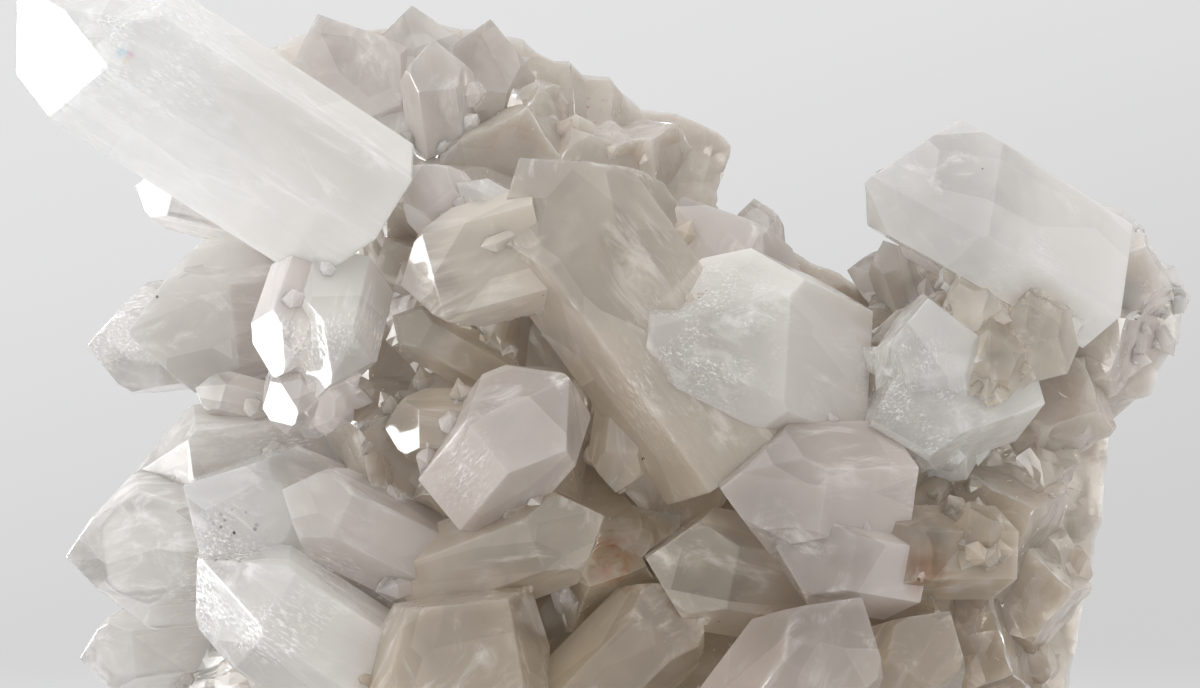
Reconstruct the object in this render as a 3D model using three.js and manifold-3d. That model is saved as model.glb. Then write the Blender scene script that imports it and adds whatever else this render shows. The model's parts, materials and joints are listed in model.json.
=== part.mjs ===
// A rock crystal (quartz) group that stands upright in a shallow socket in an oval wooden plinth.
//
// Millimetres, +Z up. The front of the group faces -Y and its left side is -X. The plinth is centred on
// the origin and its baize pad rests on Z = 0.

import * as THREE from 'three';
import { ConvexGeometry } from 'three/addons/geometries/ConvexGeometry.js';
import { mergeVertices } from 'three/addons/utils/BufferGeometryUtils.js';
import Module from 'manifold-3d';

const wasm = await Module();
wasm.setup();

// ---------------------------------------------------------------- driving dimensions

const GAP = 0.3; // clearance between one crystal and the next
const WELD_DISTANCE = 1e-5; // corners closer than this are one corner
const FACE_TOLERANCE = 1e-6;
const PYRAMID_ANGLE = THREE.MathUtils.degToRad(51.8); // quartz: c axis to a rhombohedral face's normal
const SMALL_FACE_SETBACK = 0.16; // of the girth: how far three of the six tip faces stand back

const PAD_THICKNESS = 1.5;
const PAD_INSET = 1.5;
const PLINTH_HALF_LENGTH = 92;
const PLINTH_HALF_DEPTH = 58;
const PLINTH_TOP = 31;
const PLINTH_SEGMENTS = 56;
const SOCKET_FLOOR = 16;
const SOCKET_HALF_LENGTH = 58;
const SOCKET_HALF_DEPTH = 27;
const SOCKET_CHAMFER = 3;
const FOOT_RISE = 2; // how far the host's foot stands above the plinth's top inside the host

const HOST_CENTRE = new THREE.Vector3(4, 8, 116);
const HOST_FRONT = 34; // how far the host bulges to the front of its rim
const HOST_BACK = 30; // and to the back
const HOST_RIM_STEP = 9; // longest stretch of rim between two points
const HOST_RINGS = 3;
const HOST_STUBS = [
  { count: 13, depth: -HOST_FRONT, seed: 11, shares: [0.3, 0.84], girths: [14, 26] },
  { count: 22, depth: -HOST_FRONT, seed: 31, shares: [0.8, 0.93], girths: [8, 15] },
  { count: 24, depth: HOST_BACK, seed: 23, shares: [0.1, 0.84], girths: [18, 34] },
  { count: 20, depth: HOST_BACK, seed: 47, shares: [0.8, 0.93], girths: [9, 16] },
];

// ---------------------------------------------------------------- looks

const LOOKS = {
  clear: { color: '#e6e5e2', roughness: 0.1 },
  milk: { color: '#dcdad5', roughness: 0.16 },
  rose: { color: '#cfc7c4', roughness: 0.18 },
  smoky: { color: '#bdb4a8', roughness: 0.18 },
  host: { color: '#b9b0a6', roughness: 0.45 },
  wood: { color: '#241b16', roughness: 0.42 },
  baize: { color: '#26362c', roughness: 0.95 },
};

function material(look) {
  return new THREE.MeshStandardMaterial({ ...LOOKS[look], metalness: 0 });
}

// ---------------------------------------------------------------- crystals
//
// tip      where the crystal's point is
// bearing  where it points, as seen from the front: 0 to the right, 90 up, 180 to the left, 270 down
// toward   how far it leans out to the front of that direction (negative: to the back)
// roll     turn about its own axis
// girth    distance across opposite prism faces
// prism    how far each of the six prism faces stands from the axis, in half girths
// top      how far each of the six tip faces stands back from the tip, in girths
// A crystal is cut back where it meets one listed before it.

const CRYSTALS = [
  { name: 'great_point', look: 'clear', tip: [-107.5, -62, 208.5], bearing: 147, toward: 20, roll: -4,
    girth: 29, length: 79,
    prism: [1.05, 0.72, 1.15, 1, 0.85, 1.1], top: [0, -0.14, 0.25, 0.1, 0.1, -0.06] },
  { name: 'right_summit', look: 'clear', tip: [53.5, -42, 178.5], bearing: 152, toward: 34, roll: -28,
    girth: 26, length: 56,
    prism: [0.9, 1.15, 0.9, 1, 1, 1.05], top: [-0.08, 0.04, 0.16, 0.12, -0.05, 0.17] },
  { name: 'hex_shoulder', look: 'clear', tip: [13.5, -56, 149], bearing: 158, toward: 52, roll: -22,
    girth: 33, length: 48,
    prism: [0.8, 1.15, 0.7, 1, 0.95, 1], top: [-0.03, 0.08, 0.14, 0.12, 0.08, -0.04] },
  { name: 'rose_shoulder', look: 'rose', tip: [23.5, -52, 116.5], bearing: 180, toward: 36, roll: 12,
    girth: 22, length: 36,
    top: [0, 0.1, 0.02, 0.14, 0.04, 0.1] },
  { name: 'rose_under', look: 'rose', tip: [33, -50, 106], bearing: 168, toward: 38, roll: 0,
    girth: 17, length: 30 },
  { name: 'centre_hex', look: 'rose', tip: [-8, -58, 136], bearing: 50, toward: 45, roll: 14,
    girth: 21, length: 34,
    top: [0, 0, 0.1, 0.12, 0.1, 0.24] },
  { name: 'front_low', look: 'smoky', tip: [-17, -60, 97], bearing: 60, toward: 42, roll: 10,
    girth: 31, length: 50 },
  { name: 'block_low_right', look: 'rose', tip: [48.5, -50, 96.5], bearing: 54, toward: 12, roll: -6,
    girth: 24, length: 52 },
  { name: 'left_low_diagonal', look: 'clear', tip: [-75, -40, 101.5], bearing: 146, toward: 11, roll: -17,
    girth: 22, length: 62,
    top: [0, -0.04, 0.2, 0.1, 0.1, 0.05] },
  { name: 'left_frosted', look: 'clear', tip: [-79.5, -30, 116.5], bearing: 156, toward: 30, roll: 10,
    girth: 27, length: 52 },
  { name: 'left_great_low', look: 'milk', tip: [-103, -16, 102.5], bearing: 184, toward: 17, roll: -4,
    girth: 27, length: 60,
    top: [-0.05, 0.1, 0.05, 0.12, 0.05, 0.1] },
  { name: 'left_wedge', look: 'milk', tip: [-91, -10, 120], bearing: 188, toward: 5, roll: 0,
    girth: 17, length: 46,
    top: [0, 0.05, 0.1, 0.1, 0, -0.06] },
  { name: 'left_upper', look: 'milk', tip: [-94, -2, 146], bearing: 189, toward: 22, roll: 8,
    girth: 28, length: 56 },
  { name: 'left_upper_back', look: 'milk', tip: [-105, 18, 143.5], bearing: 187, toward: 12, roll: 24,
    girth: 21, length: 56 },
  { name: 'left_bud', look: 'milk', tip: [-79, -12, 135], bearing: 165, toward: 6, roll: 0,
    girth: 8, length: 26 },
  { name: 'lantern', look: 'milk', tip: [-94, 12, 176], bearing: 166, toward: 5, roll: 8,
    girth: 12, length: 42 },
  { name: 'left_foot', look: 'milk', tip: [-104.5, 6, 80.5], bearing: 186, toward: 10, roll: 0,
    girth: 16, length: 46 },
  { name: 'slant_low_left', look: 'rose', tip: [-60, -36, 116], bearing: 152, toward: 20, roll: -12,
    girth: 16, length: 46 },
  { name: 'nest_left', look: 'rose', tip: [-60.5, -44, 139.5], bearing: 255, toward: 36, roll: 2,
    girth: 12, length: 22,
    top: [0.12, 0.16, 0.12, 0.16, 0.12, -0.02] },
  { name: 'nest_right', look: 'clear', tip: [-53, -46, 136.5], bearing: 260, toward: 43, roll: -1,
    girth: 17, length: 26,
    top: [0.1, 0.16, 0.1, 0.16, 0.1, -0.08] },
  { name: 'nest_low', look: 'rose', tip: [-57.5, -46, 130.5], bearing: 280, toward: 67, roll: -4,
    girth: 9.5, length: 16,
    top: [0.12, 0.16, 0.12, 0.16, 0.12, -0.03] },
  { name: 'nest_round', look: 'rose', tip: [-51, -46, 132], bearing: 302, toward: 78, roll: 6,
    girth: 10, length: 18,
    top: [0.12, 0.16, 0.12, 0.16, 0.12, -0.1] },
  { name: 'wall_face', look: 'smoky', tip: [-15, -42, 178.5], bearing: 126, toward: 7, roll: 4,
    girth: 29, length: 70,
    prism: [1, 0.9, 1, 1, 0.9, 1] },
  { name: 'mirror_hex', look: 'smoky', tip: [-37, -40, 155], bearing: 195, toward: -7, roll: 0,
    girth: 20, length: 28,
    prism: [0.55, 0.95, 1, 1, 1, 0.95] },
  { name: 'mirror_small', look: 'smoky', tip: [-39, -36, 149], bearing: 150, toward: 20, roll: 0,
    girth: 9, length: 24 },
  { name: 'mirror_mid', look: 'smoky', tip: [-40.5, -36, 128], bearing: 181, toward: -8, roll: 2,
    girth: 12, length: 24 },
  { name: 'saddle', look: 'rose', tip: [-36, -34, 177.5], bearing: 130, toward: 10, roll: 0,
    girth: 12, length: 34 },
  { name: 'window_bud', look: 'clear', tip: [-27.5, -38, 172], bearing: 152, toward: 4, roll: -25,
    girth: 11, length: 26,
    top: [0.12, -0.1, 0.12, 0.16, 0.12, 0.16] },
  { name: 'crest_tablet', look: 'milk', tip: [-32.5, -20, 202.5], bearing: 96, toward: 28, roll: 0,
    girth: 12, length: 30 },
  { name: 'crest_pyramid', look: 'milk', tip: [-21.5, -14, 207], bearing: 82, toward: 30, roll: 0,
    girth: 17, length: 36 },
  { name: 'crest_left', look: 'rose', tip: [-56, -4, 209], bearing: 112, toward: 20, roll: 0,
    girth: 30, length: 46 },
  { name: 'crest_mid', look: 'milk', tip: [-37.5, -2, 211], bearing: 96, toward: 15, roll: 0,
    girth: 34, length: 48 },
  { name: 'wall_blade', look: 'smoky', tip: [-4, -24, 179], bearing: 122, toward: 16, roll: 0,
    girth: 20, length: 52 },
  { name: 'wall_broad', look: 'rose', tip: [16, -20, 172], bearing: 112, toward: 18, roll: 0,
    girth: 28, length: 54 },
  { name: 'wall_pip', look: 'smoky', tip: [0.5, -26, 149], bearing: 90, toward: 35, roll: 0,
    girth: 8, length: 22 },
  { name: 'valley_bud', look: 'milk', tip: [31.5, 14, 173], bearing: 95, toward: 5, roll: 0,
    girth: 9, length: 28 },
  { name: 'notch_low', look: 'milk', tip: [50, 2, 158.5], bearing: 168, toward: 12, roll: 0,
    girth: 9, length: 28 },
  { name: 'notch_high', look: 'milk', tip: [56.5, -4, 164], bearing: 110, toward: 15, roll: 0,
    girth: 8, length: 26 },
  { name: 'summit_back', look: 'rose', tip: [54.5, -12, 177.5], bearing: 150, toward: 14, roll: -10,
    girth: 20, length: 56 },
  { name: 'upright_frosted', look: 'clear', tip: [62, -40, 152], bearing: 96, toward: 40, roll: 0,
    girth: 18, length: 38 },
  { name: 'frosted_low', look: 'clear', tip: [51.5, -38, 128.5], bearing: 196, toward: 40, roll: 0,
    girth: 20, length: 36 },
  { name: 'gem_high', look: 'smoky', tip: [71, -36, 148], bearing: 262, toward: 54, roll: -13,
    girth: 8.5, length: 16,
    top: [0.12, 0.16, 0.12, 0.16, 0.12, -0.1] },
  { name: 'gem_right', look: 'smoky', tip: [81.5, -36, 153], bearing: 112, toward: 48, roll: 11,
    girth: 11, length: 18,
    top: [0, 0, 0, 0.16, 0, 0.16] },
  { name: 'gem_mid', look: 'smoky', tip: [73.5, -39, 146], bearing: 104, toward: 62, roll: 16,
    girth: 12, length: 16,
    top: [0, 0, 0, 0.16, 0, 0.16] },
  { name: 'gem_low', look: 'smoky', tip: [70, -38, 112.5], bearing: 108, toward: 46, roll: 9,
    girth: 8, length: 16,
    top: [0, 0, 0, 0.16, 0, 0.16] },
  { name: 'gem_under_rose', look: 'smoky', tip: [48, -40, 104.5], bearing: 178, toward: 30, roll: 0,
    girth: 15, length: 32 },
  { name: 'centre_low', look: 'smoky', tip: [0.5, -46, 111.5], bearing: 22, toward: 30, roll: 0,
    girth: 17, length: 42 },
  { name: 'inner_post', look: 'smoky', tip: [3, -34, 116], bearing: 262, toward: 14, roll: 0,
    girth: 10, length: 34 },
  { name: 'mid_column', look: 'smoky', tip: [13, -28, 107], bearing: 262, toward: 12, roll: 0,
    girth: 27, length: 58 },
  { name: 'low_hex', look: 'smoky', tip: [9, -44, 103.5], bearing: 168, toward: 34, roll: 0,
    girth: 20, length: 40 },
  { name: 'low_diagonal', look: 'smoky', tip: [18.5, -40, 98], bearing: 46, toward: 14, roll: 0,
    girth: 18, length: 60 },
  { name: 'low_right_diagonal', look: 'smoky', tip: [66, -38, 93], bearing: 56, toward: 16, roll: 0,
    girth: 18, length: 52 },
  { name: 'back_left', look: 'milk', tip: [-72, 56, 168], bearing: 140, toward: -42, roll: 12,
    girth: 22, length: 50 },
  { name: 'back_high', look: 'rose', tip: [-14, 58, 186], bearing: 80, toward: -50, roll: 0,
    girth: 26, length: 44 },
  { name: 'back_right', look: 'milk', tip: [62, 58, 142], bearing: 20, toward: -55, roll: 18,
    girth: 24, length: 44 },
  { name: 'back_low', look: 'smoky', tip: [-26, 58, 96], bearing: 200, toward: -58, roll: 8,
    girth: 30, length: 44 },
];

/** The flat faces of a crystal, each as a unit normal and its distance from the origin. */
function crystalFaces(spec, growth) {
  const bearing = THREE.MathUtils.degToRad(spec.bearing);
  const toward = THREE.MathUtils.degToRad(spec.toward);
  const tip = new THREE.Vector3(...spec.tip);
  const axis = new THREE.Vector3(
    Math.cos(bearing) * Math.cos(toward),
    -Math.sin(toward),
    Math.sin(bearing) * Math.cos(toward),
  );
  const side = new THREE.Vector3(-Math.sin(bearing), 0, Math.cos(bearing));
  const front = new THREE.Vector3().crossVectors(axis, side);
  const faces = [];
  const addFace = (normal, offset) => {
    faces.push({ normal, distance: normal.dot(tip) + offset + growth });
  };
  for (let k = 0; k < 6; k += 1) {
    const turn = THREE.MathUtils.degToRad(spec.roll + 60 * k);
    const outward = front.clone().multiplyScalar(Math.cos(turn)).addScaledVector(side, Math.sin(turn));
    const sloping = axis.clone().multiplyScalar(Math.cos(PYRAMID_ANGLE));
    sloping.addScaledVector(outward, Math.sin(PYRAMID_ANGLE));
    const spread = spec.prism ? spec.prism[k] : 1;
    const setback = spec.top ? spec.top[k] : (k % 2) * SMALL_FACE_SETBACK;
    addFace(outward, spread * spec.girth / 2);
    addFace(sloping, setback * spec.girth);
  }
  addFace(axis.clone().negate(), spec.length);
  return faces;
}

/** The point where three faces meet, or null where two of them are nearly parallel. */
function meetingPoint(a, b, c) {
  const bc = new THREE.Vector3().crossVectors(b.normal, c.normal);
  const volume = a.normal.dot(bc);
  if (Math.abs(volume) < FACE_TOLERANCE) {
    return null;
  }
  const point = bc.multiplyScalar(a.distance);
  point.addScaledVector(new THREE.Vector3().crossVectors(c.normal, a.normal), b.distance);
  point.addScaledVector(new THREE.Vector3().crossVectors(a.normal, b.normal), c.distance);
  return point.divideScalar(volume);
}

/** The convex body inside all the faces. */
function bodyInside(faces) {
  const corners = [];
  for (let i = 0; i < faces.length; i += 1) {
    for (let j = i + 1; j < faces.length; j += 1) {
      for (let k = j + 1; k < faces.length; k += 1) {
        const point = meetingPoint(faces[i], faces[j], faces[k]);
        const reaches = ({ normal, distance }) => normal.dot(point) < distance + FACE_TOLERANCE;
        const inside = point && faces.every(reaches);
        if (inside) {
          corners.push(point);
        }
      }
    }
  }
  return new ConvexGeometry(corners);
}

// ---------------------------------------------------------------- solids

function toSolid(geometry) {
  const bare = geometry.clone();
  bare.deleteAttribute('normal');
  bare.deleteAttribute('uv');
  const merged = mergeVertices(bare, WELD_DISTANCE);
  return new wasm.Manifold(new wasm.Mesh({
    numProp: 3,
    vertProperties: new Float32Array(merged.attributes.position.array),
    triVerts: new Uint32Array(merged.index.array),
  }));
}

/** The geometry of a solid's largest shell: slivers that a cut leaves loose are dropped. */
function toGeometry(solid) {
  const mesh = solid.getMesh();
  const parent = Array.from({ length: mesh.vertProperties.length / 3 }, (_, i) => i);
  const root = (i) => {
    let at = i;
    while (parent[at] !== at) {
      at = parent[at];
    }
    return at;
  };
  for (let t = 0; t < mesh.triVerts.length; t += 3) {
    const first = root(mesh.triVerts[t]);
    parent[root(mesh.triVerts[t + 1])] = first;
    parent[root(mesh.triVerts[t + 2])] = first;
  }
  const shells = new Map();
  for (let t = 0; t < mesh.triVerts.length; t += 3) {
    const key = root(mesh.triVerts[t]);
    if (!shells.has(key)) {
      shells.set(key, []);
    }
    shells.get(key).push(mesh.triVerts[t], mesh.triVerts[t + 1], mesh.triVerts[t + 2]);
  }
  const largest = [...shells.values()].reduce((a, b) => (extent(mesh, a) >= extent(mesh, b) ? a : b));
  const geometry = new THREE.BufferGeometry();
  geometry.setAttribute('position', new THREE.BufferAttribute(mesh.vertProperties.slice(), 3));
  geometry.setIndex(largest);
  const flat = geometry.toNonIndexed();
  flat.computeVertexNormals();
  return flat;
}

/** The diagonal of the box round some of a mesh's corners. */
function extent(mesh, corners) {
  const box = new THREE.Box3();
  const point = new THREE.Vector3();
  for (const corner of corners) {
    box.expandByPoint(point.fromArray(mesh.vertProperties, corner * 3));
  }
  return box.getSize(point).length();
}

/** A closed solid from rings of equally many points, capped with a point at each end. */
function loft(rings, firstCap, lastCap) {
  const count = rings[0].length;
  const points = [firstCap, ...rings.flat(), lastCap];
  const last = points.length - 1;
  const index = [];
  for (let i = 0; i < count; i += 1) {
    const next = (i + 1) % count;
    index.push(0, 1 + next, 1 + i);
    for (let r = 0; r + 1 < rings.length; r += 1) {
      const low = 1 + r * count;
      const high = low + count;
      index.push(low + i, low + next, high + next);
      index.push(low + i, high + next, high + i);
    }
    const top = 1 + (rings.length - 1) * count;
    index.push(top + i, top + next, last);
  }
  const geometry = new THREE.BufferGeometry();
  const positions = points.flatMap((p) => p.toArray());
  geometry.setAttribute('position', new THREE.Float32BufferAttribute(positions, 3));
  geometry.setIndex(index);
  return geometry;
}

// ---------------------------------------------------------------- host

// The rim of the host as seen from the front, clockwise from its top left: [x, z].
const HOST_RIM = [
  [-69, 204], [-60, 207], [-53, 206.5], [-47, 208], [-37.5, 209.5], [-28, 208], [-21, 206.5],
  [-15.5, 206], [-9, 202], [-6, 202.2], [-3, 199.5], [2.5, 199], [5, 195], [8.5, 192], [15.5, 191],
  [21, 188.8], [24, 187.5], [27, 184], [22, 176], [21.5, 172], [28, 166.5], [36, 164.5], [43, 161],
  [50, 157], [62, 152], [76, 156], [88, 166], [95, 173.5], [99, 173.5], [106, 171.5], [110.5, 167.5],
  [112, 163], [117, 160], [118.5, 156], [118.7, 151], [117.5, 144], [113.5, 138], [111.5, 133.5],
  [108.5, 132], [103, 127], [103.6, 121], [103, 115], [102.8, 108.5], [100.5, 104], [100, 98.5],
  [98.8, 95], [97.3, 86.5], [96.5, 75], [91, 60], [80, 45], [69, 33], [60, 22], [30, 14], [-30, 14],
  [-58, 22], [-68, 34], [-79, 48], [-86, 62], [-88, 75], [-82, 88], [-76, 104], [-72, 124], [-70, 146],
  [-70, 168], [-72, 188],
];

// Broad blunt crystals that have grown into the host itself, laid out like CRYSTALS.
const HOST_BLOCKS = [
  { tip: [-46, -37, 128], bearing: 160, toward: 66, roll: 10, girth: 44, length: 40 },
  { tip: [-20, -38, 160], bearing: 60, toward: 70, roll: 20, girth: 42, length: 40 },
  { tip: [-28, -44, 116], bearing: 200, toward: 62, roll: 5, girth: 32, length: 40 },
  { tip: [4, -34, 166], bearing: 110, toward: 60, roll: 0, girth: 38, length: 40 },
  { tip: [66, -34, 134], bearing: 30, toward: 68, roll: 14, girth: 44, length: 40 },
  { tip: [84, -26, 112], bearing: 20, toward: 64, roll: 0, girth: 34, length: 36 },
  { tip: [62, -36, 98], bearing: 330, toward: 70, roll: 24, girth: 40, length: 40 },
  { tip: [80, -24, 80], bearing: 340, toward: 62, roll: 10, girth: 36, length: 36 },
  { tip: [-2, -42, 98], bearing: 250, toward: 70, roll: 0, girth: 34, length: 40 },
  { tip: [-58, -30, 88], bearing: 215, toward: 60, roll: 18, girth: 40, length: 40 },
  { tip: [-14, -24, 190], bearing: 80, toward: 55, roll: 8, girth: 34, length: 34 },
  { tip: [10, -16, 184], bearing: 60, toward: 62, roll: 16, girth: 26, length: 28 },
  { tip: [-52, -22, 180], bearing: 120, toward: 60, roll: 4, girth: 36, length: 36 },
  { tip: [20, -38, 70], bearing: 280, toward: 62, roll: 12, girth: 40, length: 40 },
  { tip: [-30, -34, 62], bearing: 250, toward: 58, roll: 20, girth: 40, length: 38 },
  { tip: [103, -17, 149], bearing: 35, toward: 62, roll: 12, girth: 22, length: 22 },
  { tip: [107, -14, 163], bearing: 70, toward: 58, roll: 0, girth: 16, length: 18 },
  { tip: [97, -20, 131], bearing: 350, toward: 64, roll: 22, girth: 20, length: 22 },
  { tip: [92, -20, 96], bearing: 10, toward: 60, roll: 8, girth: 22, length: 24 },
  { tip: [90, -16, 66], bearing: 345, toward: 58, roll: 16, girth: 20, length: 24 },
  { tip: [58, -28, 58], bearing: 300, toward: 60, roll: 6, girth: 34, length: 34 },
];

/** A repeatable source of numbers from 0 to 1. */
function randomSource(seed) {
  let state = seed;
  return () => {
    state = (state + 0x6d2b79f5) | 0;
    let mixed = Math.imul(state ^ (state >>> 15), 1 | state);
    mixed = (mixed + Math.imul(mixed ^ (mixed >>> 7), 61 | mixed)) ^ mixed;
    return ((mixed ^ (mixed >>> 14)) >>> 0) / 4294967296;
  };
}

/** The rim, with points added so that no stretch is longer than the step. */
function rimPoints() {
  const points = [];
  HOST_RIM.forEach(([x, z], i) => {
    const [nextX, nextZ] = HOST_RIM[(i + 1) % HOST_RIM.length];
    const pieces = Math.ceil(Math.hypot(nextX - x, nextZ - z) / HOST_RIM_STEP);
    for (let k = 0; k < pieces; k += 1) {
      points.push([x + (nextX - x) * k / pieces, z + (nextZ - z) * k / pieces]);
    }
  });
  return points;
}

/** How far the host's core stands from its rim's plane at a share of the way out to the rim. */
function bulge(share) {
  return Math.sqrt(1 - share ** 2.6);
}

/** One ring of the host's core. */
function hostRing(share, depth) {
  return rimPoints().map(([rimX, rimZ]) => new THREE.Vector3(
    HOST_CENTRE.x + (rimX - HOST_CENTRE.x) * share,
    HOST_CENTRE.y + depth * bulge(share),
    HOST_CENTRE.z + (rimZ - HOST_CENTRE.z) * share,
  ));
}

/**
 * The blunt ends of small crystals that have grown together over one side of the host, standing out from
 * its core between two shares of the way to the rim.
 */
function hostStubs({ count, depth, seed, shares, girths }) {
  const random = randomSource(seed);
  const between = ([low, high]) => low + (high - low) * random();
  const rim = rimPoints();
  const outward = -Math.sign(depth);
  return Array.from({ length: count }, () => {
    const [rimX, rimZ] = rim[Math.floor(random() * rim.length)];
    const share = Math.sqrt(between(shares.map((value) => value ** 2)));
    const x = HOST_CENTRE.x + (rimX - HOST_CENTRE.x) * share;
    const z = HOST_CENTRE.z + (rimZ - HOST_CENTRE.z) * share;
    const room = Math.min(...rim.map(([edgeX, edgeZ]) => Math.hypot(edgeX - x, edgeZ - z)));
    const girth = Math.min(between(girths), 3 + 1.4 * room);
    const outwardBearing = THREE.MathUtils.radToDeg(Math.atan2(z - HOST_CENTRE.z, x - HOST_CENTRE.x));
    const height = between([1, 4]) + 0.12 * girth;
    return {
      tip: [x, HOST_CENTRE.y + depth * bulge(share) - outward * height, z],
      bearing: outwardBearing + between([-70, 70]),
      toward: outward * between([48, 86]),
      roll: between([0, 60]),
      girth,
      length: girth * 0.9 + height,
      prism: Array.from({ length: 6 }, () => between([0.8, 1.15])),
      top: Array.from({ length: 6 }, () => between([-0.12, 0.16])),
    };
  });
}

function ovalRing(halfLength, halfDepth, z) {
  return Array.from({ length: PLINTH_SEGMENTS }, (_, i) => {
    const angle = 2 * Math.PI * i / PLINTH_SEGMENTS;
    return new THREE.Vector3(halfLength * Math.cos(angle), halfDepth * Math.sin(angle), z);
  });
}

/** The shape of the socket, or of the foot that stands in it where a clearance is given. */
function socketShape(clearance, top) {
  const halfLength = SOCKET_HALF_LENGTH - clearance;
  const halfDepth = SOCKET_HALF_DEPTH - clearance;
  const rings = [
    ovalRing(halfLength - SOCKET_CHAMFER, halfDepth - SOCKET_CHAMFER, SOCKET_FLOOR),
    ovalRing(halfLength, halfDepth, SOCKET_FLOOR + SOCKET_CHAMFER),
    ovalRing(halfLength, halfDepth, top),
  ];
  return toSolid(loft(rings, new THREE.Vector3(0, 0, SOCKET_FLOOR), new THREE.Vector3(0, 0, top)));
}

/** A slab under the group, from just above the plinth's top down. */
function belowPlinthTop() {
  const height = 2 * PLINTH_TOP;
  const slab = new THREE.BoxGeometry(4 * PLINTH_HALF_LENGTH, 4 * PLINTH_HALF_DEPTH, height);
  slab.translate(0, 0, PLINTH_TOP + GAP - height / 2);
  return toSolid(slab);
}

function hostSolid(crystals) {
  const rings = [];
  for (let r = 1; r < HOST_RINGS; r += 1) {
    rings.push(hostRing(r / HOST_RINGS, -HOST_FRONT));
  }
  for (let r = HOST_RINGS; r > 0; r -= 1) {
    rings.push(hostRing(r / HOST_RINGS, HOST_BACK));
  }
  const front = HOST_CENTRE.clone().add(new THREE.Vector3(0, -HOST_FRONT, 0));
  const back = HOST_CENTRE.clone().add(new THREE.Vector3(0, HOST_BACK, 0));
  const stubs = [...HOST_BLOCKS, ...HOST_STUBS.flatMap(hostStubs)];
  let solid = toSolid(loft(rings, front, back));
  for (const stub of stubs) {
    solid = solid.add(toSolid(bodyInside(crystalFaces(stub, 0))));
  }
  solid = solid.subtract(belowPlinthTop()).add(socketShape(GAP, PLINTH_TOP + FOOT_RISE));
  for (const crystal of crystals) {
    solid = solid.subtract(crystal.grown);
  }
  return solid;
}

// ---------------------------------------------------------------- plinth and pad

// The plinth's moulding from its foot to its top: [inset from the plan's edge, height].
function plinthProfile() {
  const profile = [[1, PAD_THICKNESS], [0, PAD_THICKNESS + 1], [0, 8], [1.2, 9]];
  for (let i = 0; i <= 5; i += 1) {
    const angle = Math.PI / 2 * i / 5;
    profile.push([3 + 9 * (1 - Math.cos(angle)), 9 + 11 * Math.sin(angle)]);
  }
  profile.push([10.5, 21]);
  for (let i = 0; i <= 6; i += 1) {
    const angle = Math.PI * (i / 6 - 0.5);
    profile.push([10.5 - 3.2 * Math.cos(angle), 24.4 + 3.2 * Math.sin(angle)]);
  }
  profile.push([11.5, 28.4], [12.5, PLINTH_TOP - 0.8], [13.6, PLINTH_TOP]);
  return profile;
}

function plinthSolid() {
  const rings = plinthProfile().map(([inset, z]) => (
    ovalRing(PLINTH_HALF_LENGTH - inset, PLINTH_HALF_DEPTH - inset, z)
  ));
  const bottom = new THREE.Vector3(0, 0, PAD_THICKNESS);
  const top = new THREE.Vector3(0, 0, PLINTH_TOP);
  return toSolid(loft(rings, bottom, top)).subtract(socketShape(0, PLINTH_TOP + FOOT_RISE));
}

function padSolid() {
  const halfLength = PLINTH_HALF_LENGTH - PAD_INSET;
  const halfDepth = PLINTH_HALF_DEPTH - PAD_INSET;
  const rings = [ovalRing(halfLength, halfDepth, 0), ovalRing(halfLength, halfDepth, PAD_THICKNESS)];
  return toSolid(loft(rings, new THREE.Vector3(), new THREE.Vector3(0, 0, PAD_THICKNESS)));
}

// ---------------------------------------------------------------- assembly

const group = new THREE.Group();
group.name = 'rock_crystal_on_stand';

function addPart(name, look, solid) {
  const mesh = new THREE.Mesh(toGeometry(solid), material(look));
  mesh.name = name;
  group.add(mesh);
}

const crystals = [];
for (const spec of CRYSTALS) {
  let solid = toSolid(bodyInside(crystalFaces(spec, 0)));
  for (const earlier of crystals) {
    solid = solid.subtract(earlier.grown);
  }
  crystals.push({ grown: toSolid(bodyInside(crystalFaces(spec, GAP))) });
  addPart(`crystal_${spec.name}`, spec.look, solid);
}

addPart('host_quartz', 'host', hostSolid(crystals));
addPart('plinth', 'wood', plinthSolid());
addPart('baize_pad', 'baize', padSolid());

export default group;
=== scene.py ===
import json
import math
import random

import bmesh
import bpy
import numpy as np
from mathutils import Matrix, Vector, noise
from mathutils.bvhtree import BVHTree

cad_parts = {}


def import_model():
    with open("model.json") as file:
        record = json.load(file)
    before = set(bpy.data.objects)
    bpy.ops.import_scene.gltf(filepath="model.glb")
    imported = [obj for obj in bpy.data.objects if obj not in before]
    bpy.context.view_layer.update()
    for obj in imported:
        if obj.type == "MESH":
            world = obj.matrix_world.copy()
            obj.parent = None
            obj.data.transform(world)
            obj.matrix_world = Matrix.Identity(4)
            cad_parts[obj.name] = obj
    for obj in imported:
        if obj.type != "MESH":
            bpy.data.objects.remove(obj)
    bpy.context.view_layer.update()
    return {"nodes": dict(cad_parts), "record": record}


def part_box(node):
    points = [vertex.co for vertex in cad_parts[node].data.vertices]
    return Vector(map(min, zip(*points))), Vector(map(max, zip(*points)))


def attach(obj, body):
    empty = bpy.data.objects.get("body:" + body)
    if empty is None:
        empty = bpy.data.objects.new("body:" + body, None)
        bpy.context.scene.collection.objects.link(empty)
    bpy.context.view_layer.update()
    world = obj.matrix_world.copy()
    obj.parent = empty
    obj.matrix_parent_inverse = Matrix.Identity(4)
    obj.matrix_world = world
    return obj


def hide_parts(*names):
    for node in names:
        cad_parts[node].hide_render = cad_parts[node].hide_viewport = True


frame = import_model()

MM = 0.001

# ---------------------------------------------------------------- quartz geometry

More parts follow.
